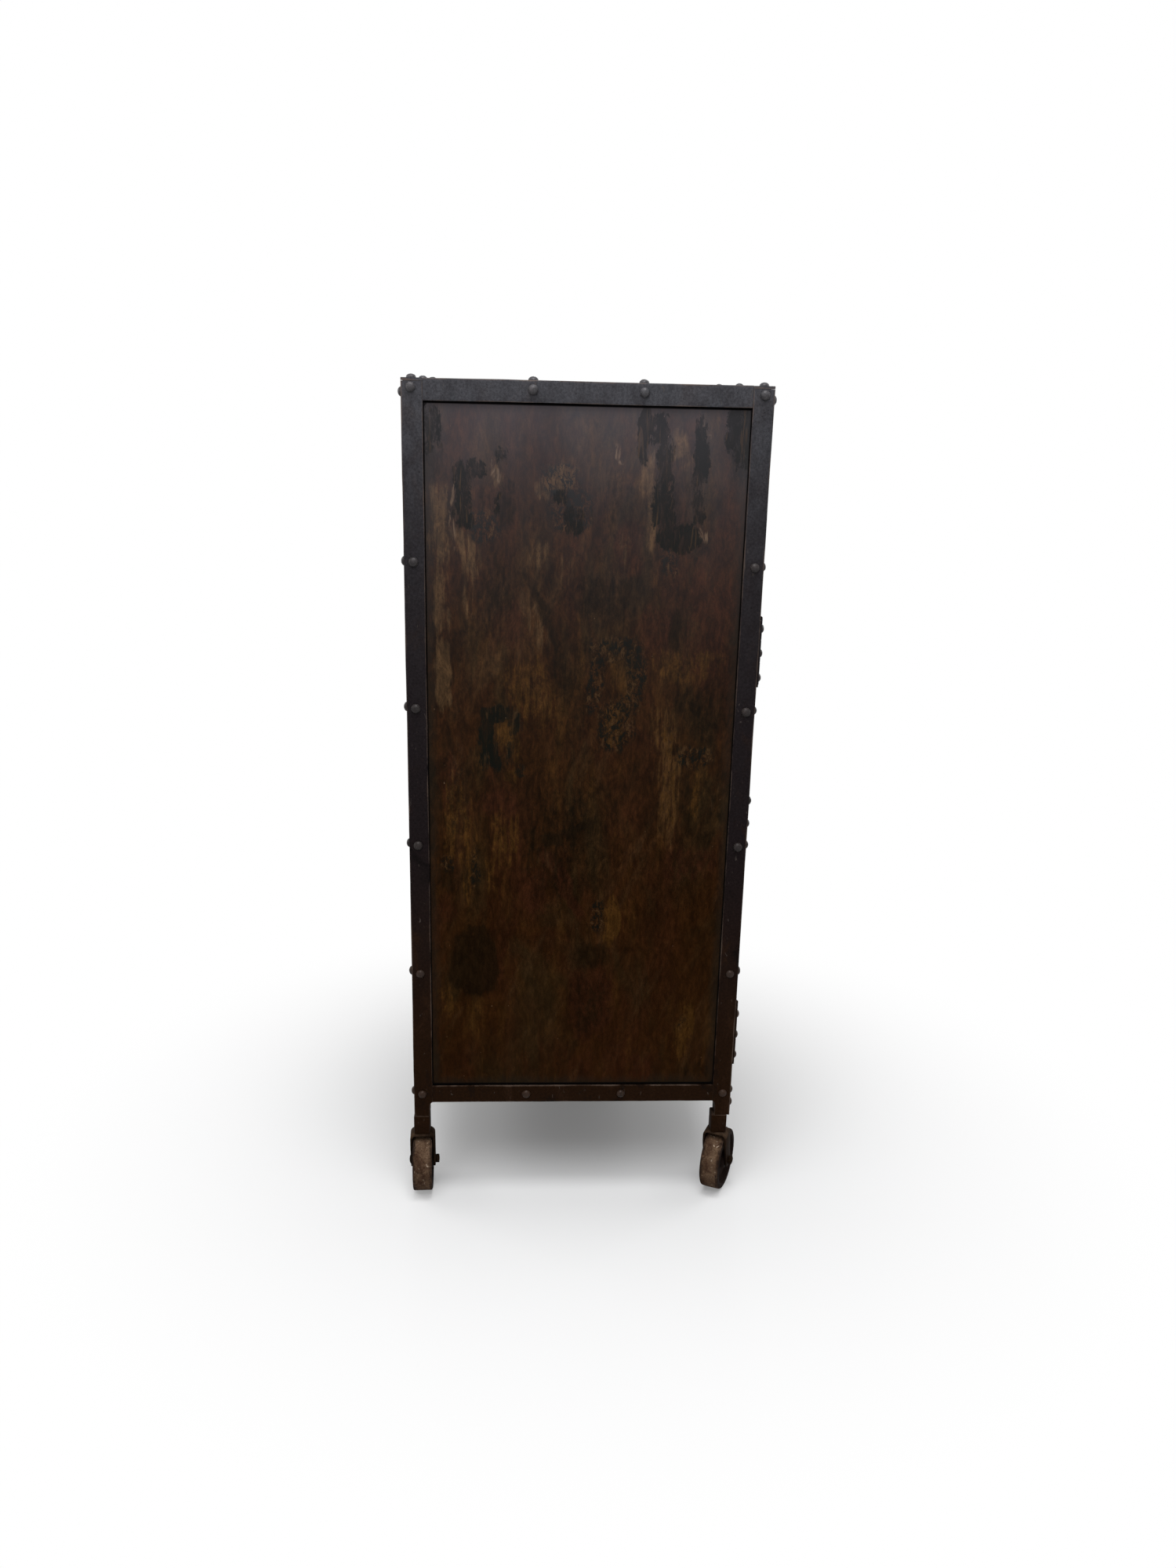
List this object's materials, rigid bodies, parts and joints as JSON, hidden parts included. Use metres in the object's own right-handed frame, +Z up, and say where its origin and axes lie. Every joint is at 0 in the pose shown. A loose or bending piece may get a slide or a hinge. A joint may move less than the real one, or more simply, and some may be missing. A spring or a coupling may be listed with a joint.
{
  "type": "bar cabinet",
  "caption": "Upright riveted angle-iron bar cabinet with recessed sheet panels, a wide drawer over a pair of hinged doors with a shelf behind, on swivel casters.",
  "frame": {"origin": "on the floor under the middle of the whole object's box", "axes": "+Z up, the doors and drawer face -Y, +X to the right seen from the front"},
  "size_m": [0.9638, 0.5717, 1.305],
  "materials": {
    "black_iron": "satin",
    "brown_patina": "satin",
    "dark_sheet": "matte",
    "worn_cast_iron": "matte",
    "forged_iron": "satin"
  },
  "bodies": {
    "frame": {"post_front_left": "black_iron", "post_front_right": "black_iron", "post_back_left": "black_iron", "post_back_right": "black_iron", "top_rail_front": "black_iron", "top_rail_back": "black_iron", "top_rail_left": "black_iron", "top_rail_right": "black_iron", "bottom_rail_front": "black_iron", "bottom_rail_back": "black_iron", "bottom_rail_left": "black_iron", "bottom_rail_right": "black_iron", "mid_rail_front": "black_iron", "mid_rail_back": "black_iron", "side_panel_left": "brown_patina", "side_panel_right": "brown_patina", "back_panel": "brown_patina", "top_panel": "brown_patina", "bottom_panel": "dark_sheet", "drawer_deck": "dark_sheet", "shelf": "dark_sheet", "shelf_cleat_left": "black_iron", "shelf_cleat_right": "black_iron", "drawer_guide_left": "black_iron", "drawer_guide_right": "black_iron", "hinge_frame_leaf_upper_left": "black_iron", "hinge_frame_leaf_lower_left": "black_iron", "hinge_frame_leaf_upper_right": "black_iron", "hinge_frame_leaf_lower_right": "black_iron", "hinge_pin_upper_left": "forged_iron", "hinge_pin_lower_left": "forged_iron", "hinge_pin_upper_right": "forged_iron", "hinge_pin_lower_right": "forged_iron"},
    "left_door": {"door_frame_left": "black_iron", "door_panel_left": "brown_patina", "door_handle_left": "forged_iron", "hinge_door_leaf_upper_left": "black_iron", "hinge_door_leaf_lower_left": "black_iron"},
    "right_door": {"door_frame_right": "black_iron", "door_panel_right": "brown_patina", "door_handle_right": "forged_iron", "hinge_door_leaf_upper_right": "black_iron", "hinge_door_leaf_lower_right": "black_iron"},
    "drawer": {"drawer_front": "black_iron", "drawer_box": "dark_sheet", "drawer_pull_left": "forged_iron", "drawer_pull_right": "forged_iron"},
    "caster_front_left": {"caster_fork_front_left": "forged_iron", "caster_axle_front_left": "forged_iron"},
    "caster_front_right": {"caster_fork_front_right": "forged_iron", "caster_axle_front_right": "forged_iron"},
    "caster_back_left": {"caster_fork_back_left": "forged_iron", "caster_axle_back_left": "forged_iron"},
    "caster_back_right": {"caster_fork_back_right": "forged_iron", "caster_axle_back_right": "forged_iron"},
    "wheel_front_left": {"caster_wheel_front_left": "worn_cast_iron"},
    "wheel_front_right": {"caster_wheel_front_right": "worn_cast_iron"},
    "wheel_back_left": {"caster_wheel_back_left": "worn_cast_iron"},
    "wheel_back_right": {"caster_wheel_back_right": "worn_cast_iron"}
  },
  "joints": [
    {"name": "left_door_hinge", "type": "hinge", "parent": "frame", "child": "left_door", "pos_m": [-0.41875, -0.25007, 0.6], "axis": [0, 0, -1], "range_deg": [0, 120]},
    {"name": "right_door_hinge", "type": "hinge", "parent": "frame", "child": "right_door", "pos_m": [0.41875, -0.25007, 0.6], "axis": [0, 0, 1], "range_deg": [0, 120]},
    {"name": "drawer_slide", "type": "slide", "parent": "frame", "child": "drawer", "axis": [0, -1, 0], "range_m": [0, 0.36]},
    {"name": "front_left_swivel", "type": "hinge", "parent": "frame", "child": "caster_front_left", "pos_m": [-0.438, -0.22857, 0.1115], "axis": [0, 0, 1], "continuous": true},
    {"name": "front_right_swivel", "type": "hinge", "parent": "frame", "child": "caster_front_right", "pos_m": [0.438, -0.22857, 0.1115], "axis": [0, 0, 1], "continuous": true},
    {"name": "back_left_swivel", "type": "hinge", "parent": "frame", "child": "caster_back_left", "pos_m": [-0.438, 0.26243, 0.1115], "axis": [0, 0, 1], "continuous": true},
    {"name": "back_right_swivel", "type": "hinge", "parent": "frame", "child": "caster_back_right", "pos_m": [0.438, 0.26243, 0.1115], "axis": [0, 0, 1], "continuous": true},
    {"name": "front_left_wheel_spin", "type": "hinge", "parent": "caster_front_left", "child": "wheel_front_left", "pos_m": [-0.42894, -0.23279, 0.051], "axis": [0.4226, 0.9063, 0], "continuous": true},
    {"name": "front_right_wheel_spin", "type": "hinge", "parent": "caster_front_right", "child": "wheel_front_right", "pos_m": [0.42894, -0.23279, 0.051], "axis": [0.4226, -0.9063, 0], "continuous": true},
    {"name": "back_left_wheel_spin", "type": "hinge", "parent": "caster_back_left", "child": "wheel_back_left", "pos_m": [-0.42801, 0.26278, 0.051], "axis": [-0.0349, 0.9994, 0], "continuous": true},
    {"name": "back_right_wheel_spin", "type": "hinge", "parent": "caster_back_right", "child": "wheel_back_right", "pos_m": [0.42801, 0.26278, 0.051], "axis": [-0.0349, -0.9994, 0], "continuous": true}
  ]
}
